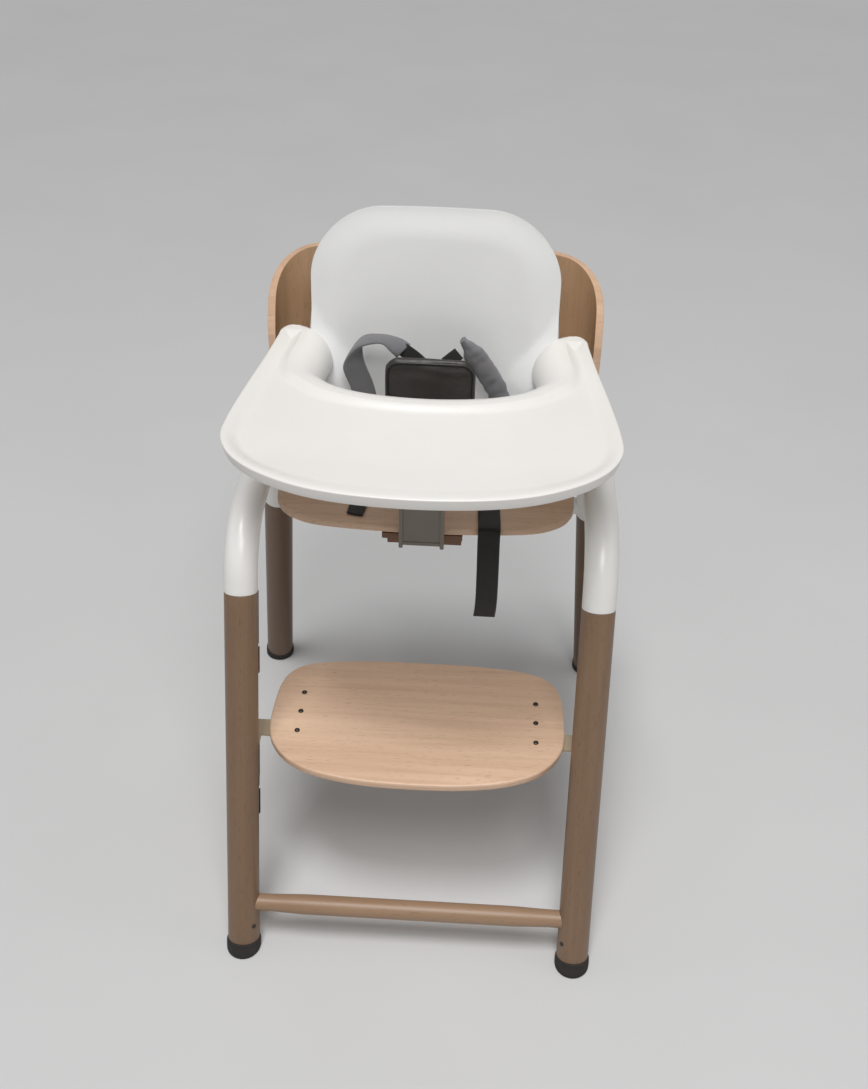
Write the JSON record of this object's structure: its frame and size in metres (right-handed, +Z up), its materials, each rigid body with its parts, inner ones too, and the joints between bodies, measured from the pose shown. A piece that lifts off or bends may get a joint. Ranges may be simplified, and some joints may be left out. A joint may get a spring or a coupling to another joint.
{
  "type": "baby high chair",
  "caption": "High chair on splayed wooden legs joined by white arches, with a moulded child seat, harness, horseshoe tray, curved wooden backrest, seat plate and height-adjustable footrest.",
  "frame": {"origin": "on the floor at the middle of the footprint between the four feet", "axes": "+Z up, +Y towards the back of the chair, +X towards the left hand of a seated child; the tray's front faces -Y"},
  "size_m": [0.5132, 0.5845, 0.79],
  "materials": {
    "beech": "satin clear lacquer over pale beech",
    "white_paint": "satin off-white powder coat",
    "white_plastic": "fine matte moulded plastic",
    "warm_plastic": "fine matte moulded plastic, warm off-white",
    "grey_plastic": "matte moulded plastic, grey taupe",
    "brown_plastic": "matte moulded plastic, brown",
    "black_plastic": "matte moulded plastic, black",
    "rubber": "soft matte rubber",
    "aluminium": "plain extruded aluminium",
    "steel": "plain steel pin",
    "dark_steel": "blackened steel screws",
    "grey_fabric": "woven grey cloth over a thin pad",
    "dark_leather": "dark coated cloth with soft sheen",
    "black_webbing": "woven black webbing"
  },
  "bodies": {
    "frame": {"front_leg_left": "beech", "front_leg_right": "beech", "rear_leg_left": "beech", "rear_leg_right": "beech", "side_arch_left": "white_paint", "side_arch_right": "white_paint", "rail_left": "aluminium", "rail_right": "aluminium", "foot_cap_front_left": "rubber", "foot_cap_front_right": "rubber", "foot_cap_rear_left": "rubber", "foot_cap_rear_right": "rubber", "front_stretcher": "beech", "rear_crossbar": "white_paint", "stretcher_screw_left": "dark_steel", "stretcher_screw_right": "dark_steel"},
    "seat_unit": {"seat_plate": "beech", "seat_pan": "white_paint", "seat_arm_left": "white_paint", "seat_arm_right": "white_paint", "seat_slider_left": "grey_plastic", "seat_slider_right": "grey_plastic", "seat_lever_left_pin": "steel", "seat_lever_right_pin": "steel", "wood_back": "beech", "baby_shell": "white_plastic", "tray_dock": "brown_plastic", "crotch_pad": "dark_leather", "crotch_strap": "black_webbing", "harness_buckle": "black_plastic", "shoulder_pad_left": "grey_fabric", "shoulder_pad_right": "grey_fabric", "hanging_strap": "black_webbing", "lap_strap_end": "black_webbing"},
    "footrest_unit": {"footrest_plate": "beech", "footrest_bracket_left": "white_paint", "footrest_bracket_right": "white_paint", "footrest_slider_left": "grey_plastic", "footrest_slider_right": "grey_plastic", "footrest_lever_left_pin": "steel", "footrest_lever_right_pin": "steel", "footrest_screw_left_1": "dark_steel", "footrest_screw_left_2": "dark_steel", "footrest_screw_left_3": "dark_steel", "footrest_screw_right_1": "dark_steel", "footrest_screw_right_2": "dark_steel", "footrest_screw_right_3": "dark_steel"},
    "seat_lever_left": {"seat_lever_left": "black_plastic"},
    "seat_lever_right": {"seat_lever_right": "black_plastic"},
    "footrest_lever_left": {"footrest_lever_left": "black_plastic"},
    "footrest_lever_right": {"footrest_lever_right": "black_plastic"},
    "tray_unit": {"tray": "warm_plastic", "tray_post": "grey_plastic", "tray_lever_pin": "steel"},
    "tray_lever": {"tray_lever": "black_plastic"},
    "buckle_button": {"buckle_button": "grey_plastic"}
  },
  "joints": [
    {"name": "seat_height", "type": "slide", "parent": "frame", "child": "seat_unit", "axis": [0, 0.3267, 0.9451], "range_m": [-0.02, 0]},
    {"name": "footrest_height", "type": "slide", "parent": "frame", "child": "footrest_unit", "axis": [0, 0.3267, 0.9451], "range_m": [-0.03, 0.025]},
    {"name": "seat_lever_left", "type": "hinge", "parent": "seat_unit", "child": "seat_lever_left", "pos_m": [-0.2, -0.11286, 0.35768], "axis": [1, 0, 0], "range_deg": [0, 12], "stiffness_Nm_per_rad": 0.2},
    {"name": "seat_lever_right", "type": "hinge", "parent": "seat_unit", "child": "seat_lever_right", "pos_m": [0.2, -0.11286, 0.35768], "axis": [1, 0, 0], "range_deg": [0, 12], "stiffness_Nm_per_rad": 0.2},
    {"name": "footrest_lever_left", "type": "hinge", "parent": "footrest_unit", "child": "footrest_lever_left", "pos_m": [-0.2, -0.17301, 0.18368], "axis": [1, 0, 0], "range_deg": [0, 12], "stiffness_Nm_per_rad": 0.2},
    {"name": "footrest_lever_right", "type": "hinge", "parent": "footrest_unit", "child": "footrest_lever_right", "pos_m": [0.2, -0.17301, 0.18368], "axis": [1, 0, 0], "range_deg": [0, 12], "stiffness_Nm_per_rad": 0.2},
    {"name": "tray_slide", "type": "slide", "parent": "seat_unit", "child": "tray_unit", "axis": [0, -1, 0], "range_m": [0, 0.12]},
    {"name": "tray_lever", "type": "hinge", "parent": "tray_unit", "child": "tray_lever", "pos_m": [0, -0.151, 0.627], "axis": [1, 0, 0], "range_deg": [0, 12], "stiffness_Nm_per_rad": 0.2},
    {"name": "buckle_button", "type": "slide", "parent": "seat_unit", "child": "buckle_button", "axis": [0, -1, 0], "range_m": [0, 0.003], "stiffness_N_per_m": 300}
  ]
}
